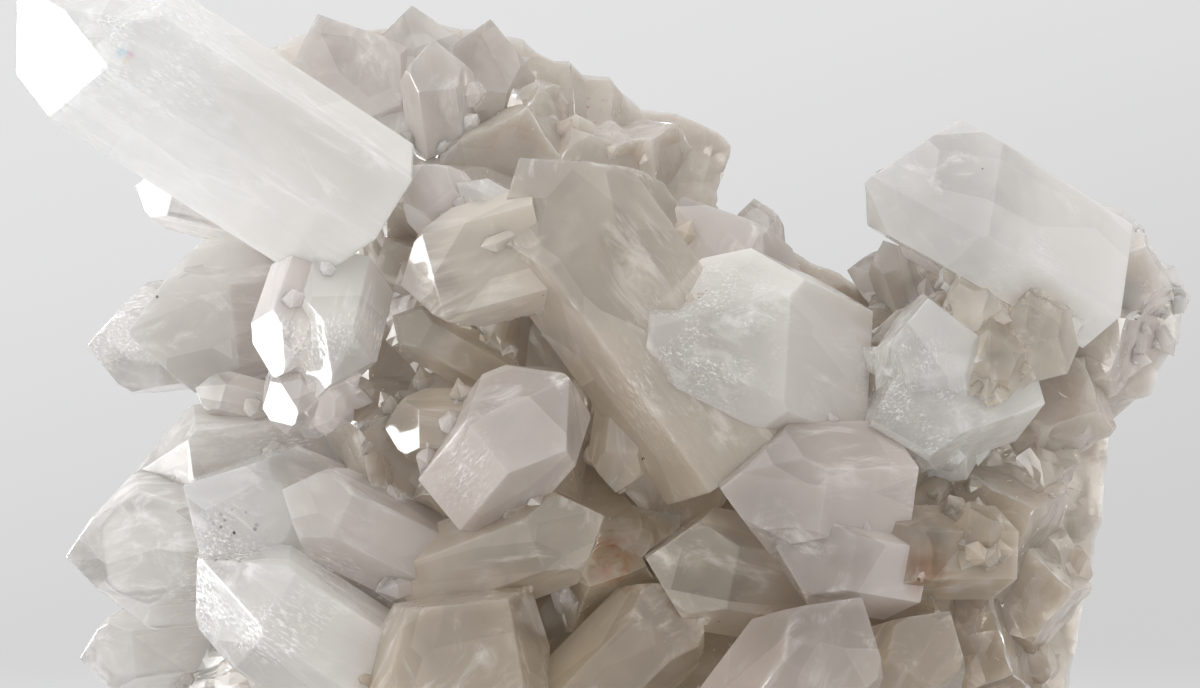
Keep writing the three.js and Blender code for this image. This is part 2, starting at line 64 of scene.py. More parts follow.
TIP_COSINE = math.cos(math.radians(51.8))  # a rhombohedral face's normal against the crystal's axis
FACE_MATCH = 0.012  # how closely a face must agree with the quartz habit to count as a growth face
PRISM_COSINE = 0.2  # a prism face's normal against the axis is under this
SWELL = 0.34 * MM  # closes the clearance between neighbours, which have grown together
EDGE_WEAR = 0.012  # of a crystal's width: the width of its rubbed edges
WEAR_LEAST = 0.12 * MM
SHARP_ANGLE = math.radians(4)  # edges sharper than this are rubbed
FLAT_ANGLE = math.radians(0.6)  # faces that turn less than this are one face
SAME_PLANE = 0.9999  # cosine between normals in one plane
LARGEST_FACES = 14  # faces tried when looking for a crystal's axis
OFFSHOOTS = 30  # places tried on each crystal
OFFSHOOT_WIDTH = (1.6 * MM, 5.4 * MM)
FLANK_COSINE = 0.3
OFFSHOOT_FACE = 20 * MM ** 2  # the smallest flank that carries small points
CREVICE = 1.6 * MM  # how near a neighbour must be for small points to grow between


def all_surfaces():
    """One tree of every CAD triangle, and the node that each one is from."""
    points, faces, owners = [], [], []
    for name, thing in sorted(frame["nodes"].items()):
        start = len(points)
        points.extend(vert.co.copy() for vert in thing.data.vertices)
        for face in thing.data.polygons:
            faces.append([start + i for i in face.vertices])
            owners.append(name)
    return BVHTree.FromPolygons(points, faces), owners


SURFACES, OWNERS = all_surfaces()


def flat_groups(mesh):
    """A mesh's faces gathered into planes: their unit normals and areas."""
    normals, areas = [], []
    for face in mesh.polygons:
        n = np.array(face.normal)
        for i, known in enumerate(normals):
            if n @ known > SAME_PLANE:
                areas[i] += face.area
                break
        else:
            normals.append(n)
            areas.append(face.area)
    return np.array(normals), np.array(areas)


def crystal_axis(mesh):
    """The crystal's c axis, pointing to its tip, found from the growth faces that it still has."""
    normals, areas = flat_groups(mesh)
    order = np.argsort(-areas)[:LARGEST_FACES]
    best, best_score = None, -1.0
    for i in order:
        for j in order:
            if j <= i:
                continue
            axis = np.cross(normals[i], normals[j])
            size = np.linalg.norm(axis)
            if size < 0.2:
                continue
            axis = axis / size
            along = normals @ axis
            prism = areas[np.abs(along) < FACE_MATCH].sum()
            up = areas[np.abs(along - TIP_COSINE) < FACE_MATCH].sum()
            down = areas[np.abs(along + TIP_COSINE) < FACE_MATCH].sum()
            score = prism + abs(up - down)
            if score > best_score:
                best, best_score = (axis if up >= down else -axis), score
    return Vector(best)


def push_out(bm, distance):
    """Moves every flat face of a convex body outwards by a distance."""
    moves = {}
    for vert in bm.verts:
        rows = np.array([face.normal[:] for face in vert.link_faces])
        step = np.linalg.lstsq(rows, np.full(len(rows), distance), rcond=None)[0]
        size = np.linalg.norm(step)
        moves[vert] = Vector(step * min(1.0, 3 * distance / size)) if size else Vector()
    for vert, move in moves.items():
        vert.co += move


def add_growth(mesh, axis, variety):
    """Stores where each point lies in its crystal, for the looks: across, across, and 0 at the tip to 1."""
    points = np.empty(len(mesh.vertices) * 3)
    mesh.vertices.foreach_get("co", points)
    points = points.reshape(-1, 3)
    axis = np.array(axis)
    side = np.cross(axis, (0.31, 0.17, 0.93))
    side /= np.linalg.norm(side)
    other = np.cross(axis, side)
    down = (points @ axis).max() - points @ axis
    grown = np.stack([points @ side, points @ other, down], axis=1)
    depth = down / max(down.max(), MM)
    along = np.array([Vector(face.normal).dot(Vector(axis)) for face in mesh.polygons])
    prism = np.abs(along) < PRISM_COSINE

    def store(name, kind, domain, field, values):
        made = mesh.attributes.new(name, kind, domain)
        made.data.foreach_set(field, np.asarray(values, dtype=np.float32).ravel())

    store("grown", "FLOAT_VECTOR", "POINT", "vector", grown)
    store("depth", "FLOAT", "POINT", "value", depth)
    store("variety", "FLOAT", "POINT", "value", np.full(len(points), variety))
    store("prism", "FLOAT", "FACE", "value", prism)


def small_point(bm, at, axis, width, height, rng):
    """A small six-sided quartz point that stands out of the host."""
    side = axis.orthogonal().normalized()
    other = axis.cross(side)
    turn = rng.uniform(0, math.pi / 3)
    corners = []
    for k in range(6):
        angle = turn + k * math.pi / 3
        reach = width / 2 * rng.uniform(0.85, 1.15)
        corners.append(side * (reach * math.cos(angle)) + other * (reach * math.sin(angle)))
    foot = [bm.verts.new(at + corner - axis * (0.6 * width)) for corner in corners]
    collar = [bm.verts.new(at + corner + axis * (height * rng.uniform(0.9, 1.1))) for corner in corners]
    lean = side * rng.uniform(-0.12, 0.12) * width + other * rng.uniform(-0.12, 0.12) * width
    tip = bm.verts.new(at + lean + axis * (height + 0.62 * width))
    bm.faces.new(list(reversed(foot)))
    for k in range(6):
        n = (k + 1) % 6
        bm.faces.new((foot[k], foot[n], collar[n], collar[k]))
        bm.faces.new((collar[k], collar[n], tip))


def close_neighbour(at, node):
    """True where a point on one CAD node lies right beside another."""
    return any(OWNERS[index] != node for _, _, index, _ in SURFACES.find_nearest_range(at, CREVICE))


def add_offshoots(bm, node, axis, rng):
    """Small points that have grown in the crevices between a crystal and its neighbours."""
    flanks = [face for face in bm.faces
              if abs(face.normal.dot(axis)) < FLANK_COSINE and face.calc_area() > OFFSHOOT_FACE]
    if not flanks:
        return
    spots = []
    for face in rng.choices(flanks, weights=[face.calc_area() for face in flanks], k=OFFSHOOTS):
        shares = [rng.random() ** 2 for _ in face.verts]
        at = sum((vert.co * share for vert, share in zip(face.verts, shares)), Vector()) / sum(shares)
        if close_neighbour(at, node):
            spots.append((at, face.normal.copy()))
    for at, normal in spots:
        lean = Vector([rng.uniform(-0.5, 0.5) for _ in range(3)])
        width = rng.uniform(*OFFSHOOT_WIDTH)
        outward = (axis * 0.7 + normal * 0.9 + lean).normalized()
        small_point(bm, at, outward, width, width * rng.uniform(0.0, 0.5), rng)


def crystal_piece(node, rng):
    """The shown body of a crystal: the convex body round its node, swollen, with rubbed edges."""
    source = frame["nodes"][node].data
    axis = crystal_axis(source)
    bm = bmesh.new()
    for vert in source.vertices:
        bm.verts.new(vert.co)
    bmesh.ops.remove_doubles(bm, verts=bm.verts, dist=1e-6)
    hull = bmesh.ops.convex_hull(bm, input=bm.verts)
    spare = [g for g in hull["geom_interior"] + hull["geom_unused"] if isinstance(g, bmesh.types.BMVert)]
    bmesh.ops.delete(bm, geom=list(set(spare)), context="VERTS")
    bmesh.ops.dissolve_limit(bm, angle_limit=FLAT_ANGLE, verts=bm.verts, edges=bm.edges)
    bm.normal_update()
    push_out(bm, SWELL)
    low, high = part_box(node)
    width = sorted(h - l for l, h in zip(low, high))[1]
    sharp = [edge for edge in bm.edges if edge.calc_face_angle(0) > SHARP_ANGLE]
    bmesh.ops.bevel(bm, geom=sharp, offset=max(WEAR_LEAST, EDGE_WEAR * width), segments=2, profile=0.6,
                    affect="EDGES", clamp_overlap=True)
    bm.normal_update()
    add_offshoots(bm, node, axis, rng)
    bmesh.ops.triangulate(bm, faces=[face for face in bm.faces if len(face.verts) > 4])
    mesh = bpy.data.meshes.new(f"{node}_look")
    bm.to_mesh(mesh)
    bm.free()
    add_growth(mesh, axis, rng.random())
    piece = bpy.data.objects.new(f"{node}_look", mesh)
    bpy.context.collection.objects.link(piece)
    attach(piece, "root")
    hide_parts(node)
    return piece


# ---------------------------------------------------------------- shader helpers


class Shader:
    """A material's node tree, written as short expressions."""

    def __init__(self, name):
        self.material = bpy.data.materials.new(name)
        self.material.use_nodes = True
        self.tree = self.material.node_tree
        self.tree.nodes.clear()
        self.out = self.tree.nodes.new("ShaderNodeOutputMaterial")

    def node(self, kind, inputs=None, **settings):
        made = self.tree.nodes.new(kind)
        for key, value in settings.items():
            setattr(made, key, value)
        for key, value in (inputs or {}).items():
            self.feed(made.inputs[key], value)
        return made

    def feed(self, socket, value):
        if isinstance(value, bpy.types.NodeSocket):
            self.tree.links.new(value, socket)
        else:
            socket.default_value = value

    def place(self):
        return self.node("ShaderNodeTexCoord").outputs["Object"]

    def attribute(self, name, output="Fac"):
        return self.node("ShaderNodeAttribute", attribute_name=name).outputs[output]

    def math(self, operation, a, b=0.0, c=0.0, clamp=False):
        made = self.node("ShaderNodeMath", {0: a, 1: b, 2: c}, operation=operation, use_clamp=clamp)
        return made.outputs[0]

    def add(self, a, b):
        return self.math("ADD", a, b)

    def times(self, a, b):
        return self.math("MULTIPLY", a, b)

    def stretched(self, vector, scale, turn=(0.0, 0.0, 0.0)):
        made = self.node("ShaderNodeMapping", {"Vector": vector, "Scale": scale, "Rotation": turn})
        return made.outputs["Vector"]

    def noise(self, vector, scale, detail=3.0, rough=0.5, warp=0.0):
        made = self.node("ShaderNodeTexNoise", {"Vector": vector, "Scale": scale, "Detail": detail,
                                                "Roughness": rough, "Distortion": warp})
        return made.outputs["Fac"]

    def ramp(self, value, low, high, start=0.0, end=1.0, smooth=True):
        made = self.node("ShaderNodeMapRange", {"Value": value, "From Min": low, "From Max": high,
                                                "To Min": start, "To Max": end},
                         interpolation_type="SMOOTHSTEP" if smooth else "LINEAR")
        return made.outputs["Result"]

    def blend(self, share, a, b, way="MIX"):
        made = self.node("ShaderNodeMix", data_type="RGBA", blend_type=way)
        self.feed(made.inputs["Factor"], share)
        self.feed(made.inputs[6], a)
        self.feed(made.inputs[7], b)
        return made.outputs[2]

    def bump(self, height, distance, strength=1.0, normal=None):
        inputs = {"Height": height, "Distance": distance, "Strength": strength}
        if normal is not None:
            inputs["Normal"] = normal
        return self.node("ShaderNodeBump", inputs).outputs["Normal"]

    def surface(self, **inputs):
        sockets = {key.replace("_", " "): value for key, value in inputs.items()}
        made = self.node("ShaderNodeBsdfPrincipled", sockets)
        self.tree.links.new(made.outputs["BSDF"], self.out.inputs["Surface"])
        return self.material


def tone(code):
    """A colour as the eye reads it on screen, turned into the linear light that the renderer works with."""
    parts = [int(code[i:i + 2], 16) / 255 for i in (1, 3, 5)]
    return tuple(p / 12.92 if p <= 0.04045 else ((p + 0.055) / 1.055) ** 2.4 for p in parts) + (1.0,)


# ---------------------------------------------------------------- looks

SHADE_CENTRE = (0.018, -0.01, 0.085)  # the middle of the painted shade, in the group's thick part
SHADE_SCALE = (7.4, 5.5, 6.6)  # one over its half sizes
TOP_SHADE_CENTRE = (-0.028, -0.006, 0.196)  # the middle of a second patch of painted shade, at the top
TOP_SHADE_REACH = 0.062
FLAT_IN_DEPTH = (1.0, 0.35, 1.0)

# Patches of frosted growth that flash in the light: centre and radius.
FROST_PATCHES = (
    ((0.020, -0.060, 0.146), 0.021),
    ((0.010, -0.058, 0.133), 0.013),
    ((0.058, -0.042, 0.136), 0.013),
    ((0.066, -0.040, 0.122), 0.016),
    ((-0.073, -0.042, 0.103), 0.014),
    ((-0.028, -0.060, 0.120), 0.012),
    ((-0.082, -0.066, 0.200), 0.022),
)

# Natural stains, and a painted rainbow reflection (the last three): centre, radius, colour and strength.
STAINS_AND_PAINTED_RAINBOW = (
    ((0.0026, -0.040, 0.1035), 0.0062, "#e8ad84", 0.75),
    ((0.0045, -0.042, 0.0985), 0.0022, "#c98a4e", 0.9),
    ((0.0622, -0.040, 0.1010), 0.0068, "#e8c3a8", 0.7),
    ((0.0956, -0.028, 0.1478), 0.0017, "#5b4433", 0.9),
    # the last three are one painted rainbow reflection from a crack: overlapping cyan, pink and yellow
    # spots high on the left
    ((-0.0862, -0.072, 0.1963), 0.0018, "#9fd6f0", 0.9),
    ((-0.0846, -0.072, 0.1959), 0.0016, "#f0a9d8", 0.9),
    ((-0.0854, -0.072, 0.1948), 0.0014, "#f3e27c", 0.9),
)

# Clusters of grains inside the quartz: centre, radius and colour.
GRAINS = (
    ((-0.0017, -0.014, 0.1915), 0.0075, "#a3202c"),
    ((-0.0698, -0.040, 0.1072), 0.0075, "#4a4743"),
)
GRAIN_SCALE = 680.0  # grains to a metre


def near(s, place, centre, radius):
    """1 close to a point, falling to 0 at a radius from it."""
    offset = s.node("ShaderNodeVectorMath", {0: place, 1: centre}, operation="SUBTRACT").outputs[0]
    away = s.node("ShaderNodeVectorMath", {0: s.stretched(offset, FLAT_IN_DEPTH)}, operation="LENGTH")
    return s.ramp(away.outputs["Value"], 0.35 * radius, radius, 1.0, 0.0)


def painted_shade_amount(s, place):
    """Painted shade: 0 at the group's margins, where light gets through, to 1 in its thick middle and up to
    0.6 at its top, where the colour is darkened and warmed.
    """
    offset = s.node("ShaderNodeVectorMath", {0: place, 1: SHADE_CENTRE}, operation="SUBTRACT").outputs[0]
    away = s.node("ShaderNodeVectorMath", {0: s.stretched(offset, SHADE_SCALE)}, operation="LENGTH")
    away = away.outputs["Value"]
    # a second, weaker patch of painted shade darkens the top of the group
    top_shade = s.times(near(s, place, TOP_SHADE_CENTRE, TOP_SHADE_REACH), 0.6)
    return s.math("MAXIMUM", s.ramp(away, 0.25, 1.15, 1.0, 0.0), top_shade)


def inner_planes(s, coordinates, scale):
    """Fractures and healed growth planes inside the quartz: a tone for each, and the lines between."""
    cells = s.node("ShaderNodeTexVoronoi", {"Vector": coordinates, "Scale": scale}, feature="F1")
    tones = s.node("ShaderNodeSeparateColor", {0: cells.outputs["Color"]}).outputs[0]
    edge = s.node("ShaderNodeTexVoronoi", {"Vector": coordinates, "Scale": scale},
                  feature="DISTANCE_TO_EDGE")
    return tones, s.ramp(edge.outputs["Distance"], 0.0, 0.022, 1.0, 0.0)


def frost_patches(s, place):
    """Where growth is frosted: scattered patches, and the ones on the large faces."""
    patch = s.ramp(s.noise(place, 27.0, 3.0, 0.5, 0.5), 0.58, 0.70)
    ragged = s.ramp(s.noise(place, 150.0, 3.0, 0.6), 0.38, 0.62)
    for centre, radius in FROST_PATCHES:
        patch = s.math("MAXIMUM", patch, s.times(near(s, place, centre, radius), ragged))
    return patch


def marked(s, place, colour):
    """The colour with its stains and a painted rainbow reflection, its clusters of grains and a few dark
    specks.
    """
    mottle = s.ramp(s.noise(place, 330.0, 3.0), 0.3, 0.6)
    # real stains, and three tinted spots that are a painted rainbow reflection
    for centre, radius, spot_tint, strength in STAINS_AND_PAINTED_RAINBOW:
        blot = s.times(near(s, place, centre, radius), mottle)
        colour = s.blend(s.times(blot, strength), colour, tone(spot_tint), "MULTIPLY")
    cells = s.node("ShaderNodeTexVoronoi", {"Vector": place, "Scale": GRAIN_SCALE}, feature="F1")
    dots = s.ramp(cells.outputs["Distance"], 0.24, 0.32, 1.0, 0.0)
    shown = s.ramp(s.node("ShaderNodeSeparateColor", {0: cells.outputs["Color"]}).outputs[1], 0.45, 0.5)
    dots = s.times(dots, shown)
    for centre, radius, grain in GRAINS:
        colour = s.blend(s.times(dots, near(s, place, centre, radius)), colour, tone(grain))
    cells = s.node("ShaderNodeTexVoronoi", {"Vector": place, "Scale": 130.0}, feature="F1")
    speck = s.ramp(cells.outputs["Distance"], 0.035, 0.05, 1.0, 0.0)
    rare = s.ramp(s.node("ShaderNodeSeparateColor", {0: cells.outputs["Color"]}).outputs[2], 0.8, 0.82)
    return s.blend(s.times(s.times(speck, rare), 0.85), colour, tone("#3a3532"))


def quartz(name, clear, milk, shade_tint, shade_strength, see_tip, see_base, frost):
    """Rock crystal: clear at the tip, cloudy at the base, with veils, planes and frosted patches, and
    painted shade that darkens and warms its thick middle and top.
    """
    s = Shader(name)
    place = s.place()
    grown = s.attribute("grown", "Vector")
    depth = s.attribute("depth")
    variety = s.attribute("variety")
    prism = s.attribute("prism")
    painted_shade = painted_shade_amount(s, place)

    cloud = s.noise(place, 36.0, 3.0, 0.55, 0.3)
    haze = s.add(s.ramp(depth, 0.0, 0.75), s.times(s.add(cloud, -0.5), 1.3))
    haze = s.ramp(s.add(haze, s.times(s.add(variety, -0.5), 0.4)), 0.0, 1.0)

    tones, lines = inner_planes(s, s.stretched(grown, (1.0, 1.5, 0.42)), 70.0)
    shown = s.ramp(s.noise(place, 48.0, 2.0), 0.5, 0.7)
    lines = s.times(lines, shown)

    patch = frost_patches(s, place)
    streaks = s.noise(s.stretched(grown, (1.0, 1.0, 0.3)), 1900.0, 2.0, 0.7)
    grains = s.ramp(streaks, 0.46, 0.72)
    frosted = s.times(s.times(patch, grains), frost)

    colour = s.blend(haze, clear, milk)
    # painted shade: the colour is multiplied by a warm tint where the group is thick and at its top
    share = s.times(s.add(0.6, s.times(variety, 0.4)), shade_strength)
    colour = s.blend(s.times(painted_shade, share), colour, shade_tint, "MULTIPLY")
    colour = s.blend(s.times(tones, 0.09), colour, tone("#b9b2ab"), "MULTIPLY")
    drifts = s.noise(s.stretched(grown, (1.0, 1.0, 0.3)), 170.0, 6.0, 0.68, 0.8)
    veils = s.times(s.ramp(drifts, 0.48, 0.74), s.ramp(s.noise(place, 62.0, 2.0), 0.38, 0.62))
    colour = s.blend(s.times(veils, 0.34), colour, tone("#ffffff"))
    colour = s.blend(frosted, colour, tone("#ffffff"))
    colour = marked(s, place, colour)

    see = s.ramp(haze, 0.0, 1.0, see_tip, see_base, smooth=False)
    see = s.times(see, s.add(0.8, s.times(tones, 0.3)))
    hidden = s.math("MAXIMUM", s.times(veils, 0.55), s.math("MAXIMUM", s.times(lines, 0.1), frosted))
    see = s.math("MULTIPLY", see, s.math("SUBTRACT", 1.0, hidden), clamp=True)

    steps = s.noise(s.stretched(grown, (9.0, 9.0, 620.0)), 1.0, 3.0, 0.6)
    ridges = s.times(s.times(steps, prism), shown)
    chips = s.node("ShaderNodeTexVoronoi", {"Vector": s.stretched(grown, (1.0, 1.0, 0.35)), "Scale": 900.0},
                   feature="F1", distance="MANHATTAN").outputs["Distance"]
    plates = s.node("ShaderNodeTexVoronoi", {"Vector": s.stretched(grown, (1.0, 1.0, 0.5)), "Scale": 110.0},
                    feature="F1", distance="CHEBYCHEV").outputs["Distance"]
    height = s.add(s.add(s.times(ridges, 0.6), s.add(s.times(plates, 0.45), s.times(drifts, 0.5))),
                   s.add(s.times(s.times(chips, patch), 1.1), s.times(cloud, 1.2)))
    normal = s.bump(height, 0.2 * MM, 0.5)

    rough = s.add(s.add(0.03, s.times(cloud, 0.06)), s.times(frosted, 0.2))
    return s.surface(Base_Color=colour, Roughness=rough, IOR=1.54, Transmission_Weight=see, Normal=normal,
                     Subsurface_Weight=0.75, Subsurface_Radius=(1.0, 0.95, 0.88), Subsurface_Scale=7 * MM)


def host_look():
    """The massive quartz under the crystals: beige, cloudy, with broken faces, and painted shade darkening
    its thick middle and top.
    """
    s = Shader("quartz_host_look")
    place = s.place()
    painted_shade = painted_shade_amount(s, place)
    cloud = s.noise(place, 34.0, 4.0, 0.6, 0.5)
    tones, lines = inner_planes(s, s.stretched(place, (1.0, 1.3, 0.8), (0.3, 0.5, 0.2)), 130.0)
    colour = s.blend(s.ramp(cloud, 0.3, 0.7), tone("#e6dfda"), tone("#f4f1ee"))
    # painted shade: darker and browner where the group is thick and at its top
    colour = s.blend(painted_shade, colour, tone("#b3a794"), "MULTIPLY")
    colour = s.blend(s.times(tones, 0.15), colour, tone("#b5aba0"), "MULTIPLY")
    colour = s.blend(s.times(lines, 0.04), colour, tone("#ffffff"))
    colour = marked(s, place, colour)
    fine = s.noise(place, 420.0, 3.0, 0.6)
    height = s.add(s.times(tones, 0.9), s.add(s.times(fine, 0.25), s.times(cloud, 2.0)))
    normal = s.bump(height, 0.5 * MM, 0.55)
    rough = s.add(0.1, s.times(fine, 0.25))
    return s.surface(Base_Color=colour, Roughness=rough, IOR=1.54, Normal=normal, Transmission_Weight=0.3,
                     Subsurface_Weight=0.85, Subsurface_Radius=(1.0, 0.93, 0.84), Subsurface_Scale=14 * MM)


def wood_look():
    """Ebonised hardwood: long grain, open pores and a satin polish that is rubbed on the mouldings."""
    s = Shader("plinth_wood_look")
    place = s.place()
    grain = s.noise(s.stretched(place, (6.0, 90.0, 90.0), (0.0, 0.03, 0.05)), 1.0, 6.0, 0.6, 0.5)
    rings = s.noise(s.stretched(place, (2.2, 24.0, 30.0)), 1.0, 3.0, 0.5, 1.0)
    pores = s.ramp(s.noise(s.stretched(place, (60.0, 1500.0, 1500.0)), 1.0, 2.0, 0.5), 0.62, 0.74)
    colour = s.blend(s.ramp(grain, 0.3, 0.75), tone("#15100d"), tone("#33251c"))
    colour = s.blend(s.times(s.ramp(rings, 0.5, 0.8), 0.5), colour, tone("#452f21"))
    colour = s.blend(s.times(pores, 0.6), colour, tone("#0a0706"))
    rub = s.times(s.ramp(s.noise(place, 55.0, 4.0, 0.6), 0.52, 0.75), 0.25)
    colour = s.blend(rub, colour, tone("#54402f"))
    rough = s.add(s.add(0.24, s.times(grain, 0.14)), s.times(pores, 0.25))
    height = s.add(s.times(grain, 0.4), s.times(pores, -1.0))
    return s.surface(Base_Color=colour, Roughness=rough, IOR=1.5, Coat_Weight=0.25,
                     Normal=s.bump(height, 0.08 * MM, 0.7))


def baize_look():
    """Green baize: a short felted nap."""
    s = Shader("pad_baize_look")
    place = s.place()
    nap = s.noise(place, 2600.0, 4.0, 0.75)
    tufts = s.noise(place, 420.0, 3.0, 0.6)
    colour = s.blend(s.ramp(nap, 0.35, 0.7), tone("#16241b"), tone("#35503f"))
    colour = s.blend(s.times(tufts, 0.3), colour, tone("#4a6150"))
    return s.surface(Base_Color=colour, Roughness=0.95, Sheen_Weight=0.35,
                     Normal=s.bump(s.add(nap, tufts), 0.15 * MM, 0.9))


# in each quartz look, the third colour and the number after it are the tint and strength of its painted
# shade
LOOKS = {
    "quartz_clear": quartz("quartz_clear_look", tone("#ffffff"), tone("#f9f8f6"), tone("#c9c3ba"),
                           0.66, 0.66, 0.24, 0.6),
    "quartz_milky": quartz("quartz_milky_look", tone("#f8f6f4"), tone("#edeae7"), tone("#c2b9ae"),
                           0.95, 0.68, 0.28, 0.5),
    "quartz_rosy": quartz("quartz_rosy_look", tone("#faf7f6"), tone("#f0eae8"), tone("#c5bcb2"),
                          0.85, 0.62, 0.26, 0.5),
    "quartz_smoky": quartz("quartz_smoky_look", tone("#f9f6f1"), tone("#ebe5dc"), tone("#c2b6a4"),
                           0.95, 0.74, 0.36, 0.35),
    "quartz_host": host_look(),
    "plinth_wood": wood_look(),
    "pad_baize": baize_look(),
}


def dress(piece, slot):
    piece.data.materials.clear()
    piece.data.materials.append(LOOKS[slot])


# ---------------------------------------------------------------- crystals

slots = {part["node"]: part["material_slot"] for part in frame["record"]["subparts"]}
rng = random.Random(7)
for node in sorted(slots):
    if node.startswith("crystal_"):
        dress(crystal_piece(node, rng), slots[node])

# ---------------------------------------------------------------- host

HOST_EDGE = 3.2 * MM  # longest edge of the host's shown surface
HOST_ROUGHNESS = 0.34 * MM
CHIP_DEPTH = 2.2 * MM
CHIPS = 105  # to a metre
DRUSE_COUNT = 420
DRUSE_CLUSTERS = 38  # to a metre
DRUSE_WIDTH = (1.2 * MM, 4.4 * MM)
FOOT_CLEAR = 1.5 * MM  # the foot is left smooth up to this height over the plinth


def add_druse(bm, rng, foot_top):
    """Small points scattered over the host, denser where its surface is open."""
    bm.faces.ensure_lookup_table()
    spots = [(face.calc_center_median(), face.normal.copy(), face.calc_area()) for face in bm.faces
             if face.calc_center_median().z > foot_top]
    weights = [area * max(0.0, noise.noise(centre * DRUSE_CLUSTERS) - 0.12) for centre, _, area in spots]
    chosen = rng.choices(spots, weights=weights, k=DRUSE_COUNT)
    for centre, normal, _ in chosen:
        axis = (normal + Vector([rng.uniform(-0.7, 0.7) for _ in range(3)])).normalized()
        width = rng.uniform(*DRUSE_WIDTH)
        small_point(bm, centre, axis, width, width * rng.uniform(0.0, 0.5), rng)


def host_piece():
    source = frame["nodes"]["host_quartz"].data
    bm = bmesh.new()
    bm.from_mesh(source)
    bmesh.ops.remove_doubles(bm, verts=bm.verts, dist=1e-6)
    for _ in range(4):
        long_edges = [edge for edge in bm.edges if edge.calc_length() > HOST_EDGE]
        if not long_edges:
            break
        bmesh.ops.subdivide_edges(bm, edges=long_edges, cuts=1)
        bmesh.ops.triangulate(bm, faces=[face for face in bm.faces if len(face.verts) > 3])
    bm.normal_update()
    foot_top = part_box("plinth")[1][2] + FOOT_CLEAR
    for vert in bm.verts:
        if vert.co.z > foot_top:
            wave = noise.noise(vert.co * 140) + 0.6 * noise.noise(vert.co * 420)
            chip = noise.voronoi(vert.co * CHIPS)[0][0]
            vert.co += vert.normal * (HOST_ROUGHNESS * wave + CHIP_DEPTH * (0.25 - chip))
    add_druse(bm, random.Random(19), foot_top)
    mesh = bpy.data.meshes.new("host_quartz_look")
    bm.to_mesh(mesh)
    bm.free()
    return mesh


host = bpy.data.objects.new("host_quartz_look", host_piece())
bpy.context.collection.objects.link(host)
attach(host, "root")
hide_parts("host_quartz")
dress(host, "quartz_host")

# ---------------------------------------------------------------- plinth and pad

RING_POINTS = 144
(plinth_low, plinth_high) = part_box("plinth")
HALF_LENGTH = (plinth_high[0] - plinth_low[0]) / 2
HALF_DEPTH = (plinth_high[1] - plinth_low[1]) / 2
PLINTH_TOP = plinth_high[2]
SOCKET_FLOOR = 16 * MM
SOCKET_HALF = (58 * MM, 27 * MM)
SOCKET_CHAMFER = 3 * MM
SOCKET_LIP = 0.4 * MM  # the rounding of the socket's rim
CREASE_ANGLE = math.radians(32)
PAD_RUFFLE = 0.12 * MM


def oval(bm, half_length, half_depth, z):
    turn = 2 * math.pi / RING_POINTS
    return [bm.verts.new((half_length * math.cos(turn * i), half_depth * math.sin(turn * i), z))
            for i in range(RING_POINTS)]


def skin(bm, rings):
    for low, high in zip(rings, rings[1:]):
        for i in range(RING_POINTS):
            n = (i + 1) % RING_POINTS
            bm.faces.new((low[i], low[n], high[n], high[i]))


def plinth_outline():
    """The moulding from foot to top: [inset, height] in millimetres."""
    outline = [(1.0, 1.5), (0.35, 1.7), (0.0, 2.4), (0.0, 7.4), (0.3, 8.4), (1.2, 9.0), (2.9, 9.0)]
    for i in range(13):
        angle = math.pi / 2 * i / 12
        outline.append((3 + 9 * (1 - math.cos(angle)), 9 + 11 * math.sin(angle)))
    outline += [(12.0, 20.4), (10.7, 20.7), (10.5, 21.0)]
    for i in range(15):
        angle = math.pi * (i / 14 - 0.5)
        outline.append((10.5 - 3.2 * math.cos(angle), 24.4 + 3.2 * math.sin(angle)))
    outline += [(10.6, 28.0), (11.5, 28.4), (12.3, 29.2), (12.5, 30.2), (12.9, 30.8), (13.6, 31.0)]
    return outline


def plinth_mesh():
    bm = bmesh.new()
    rings = [oval(bm, HALF_LENGTH - inset * MM, HALF_DEPTH - inset * MM, z * MM)
             for inset, z in plinth_outline()]
    for z, inset in ((PLINTH_TOP, -SOCKET_LIP), (PLINTH_TOP - SOCKET_LIP, 0.0),
                     (SOCKET_FLOOR + SOCKET_CHAMFER, 0.0), (SOCKET_FLOOR, SOCKET_CHAMFER)):
        rings.append(oval(bm, SOCKET_HALF[0] - inset, SOCKET_HALF[1] - inset, z))
    skin(bm, rings)
    bm.faces.new(rings[0][::-1])
    bm.faces.new(rings[-1])
    mesh = bpy.data.meshes.new("plinth_look")
    bm.to_mesh(mesh)
    bm.free()
    mesh.shade_smooth()
    mesh.set_sharp_from_angle(angle=CREASE_ANGLE)
    return mesh


def pad_mesh():
    (low, high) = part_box("baize_pad")
    bm = bmesh.new()
    half_length, half_depth = high[0], high[1]
    rings = []
    outline = ((40.0, 0.0), (0.9, 0.0), (0.25, 0.18), (0.0, 0.5), (0.0, 1.0), (0.25, 1.32), (0.9, 1.5))
    for inset, z in outline:
        rings.append(oval(bm, half_length - inset * MM, half_depth - inset * MM, z * MM))
    skin(bm, rings)
    bm.faces.new(rings[0][::-1])
    bm.faces.new(rings[-1])
    for ring in rings[2:6]:
        for vert in ring:
            outward = Vector((vert.co.x, vert.co.y, 0)).normalized()
            vert.co += outward * PAD_RUFFLE * noise.noise(vert.co * 900)
    mesh = bpy.data.meshes.new("baize_pad_look")
    bm.to_mesh(mesh)
    bm.free()
    mesh.shade_smooth()
    return mesh


for node, mesh in (("plinth", plinth_mesh()), ("baize_pad", pad_mesh())):
    piece = bpy.data.objects.new(f"{node}_look", mesh)
    bpy.context.collection.objects.link(piece)
    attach(piece, "root")
    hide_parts(node)
    dress(piece, slots[node])

# ---------------------------------------------------------------- stage

FLOOR_RADIUS = 2.4
FLOOR_POINTS = 96
FLOOR_FADE = (0.25, 1.0)  # it fades out between these distances from the middle


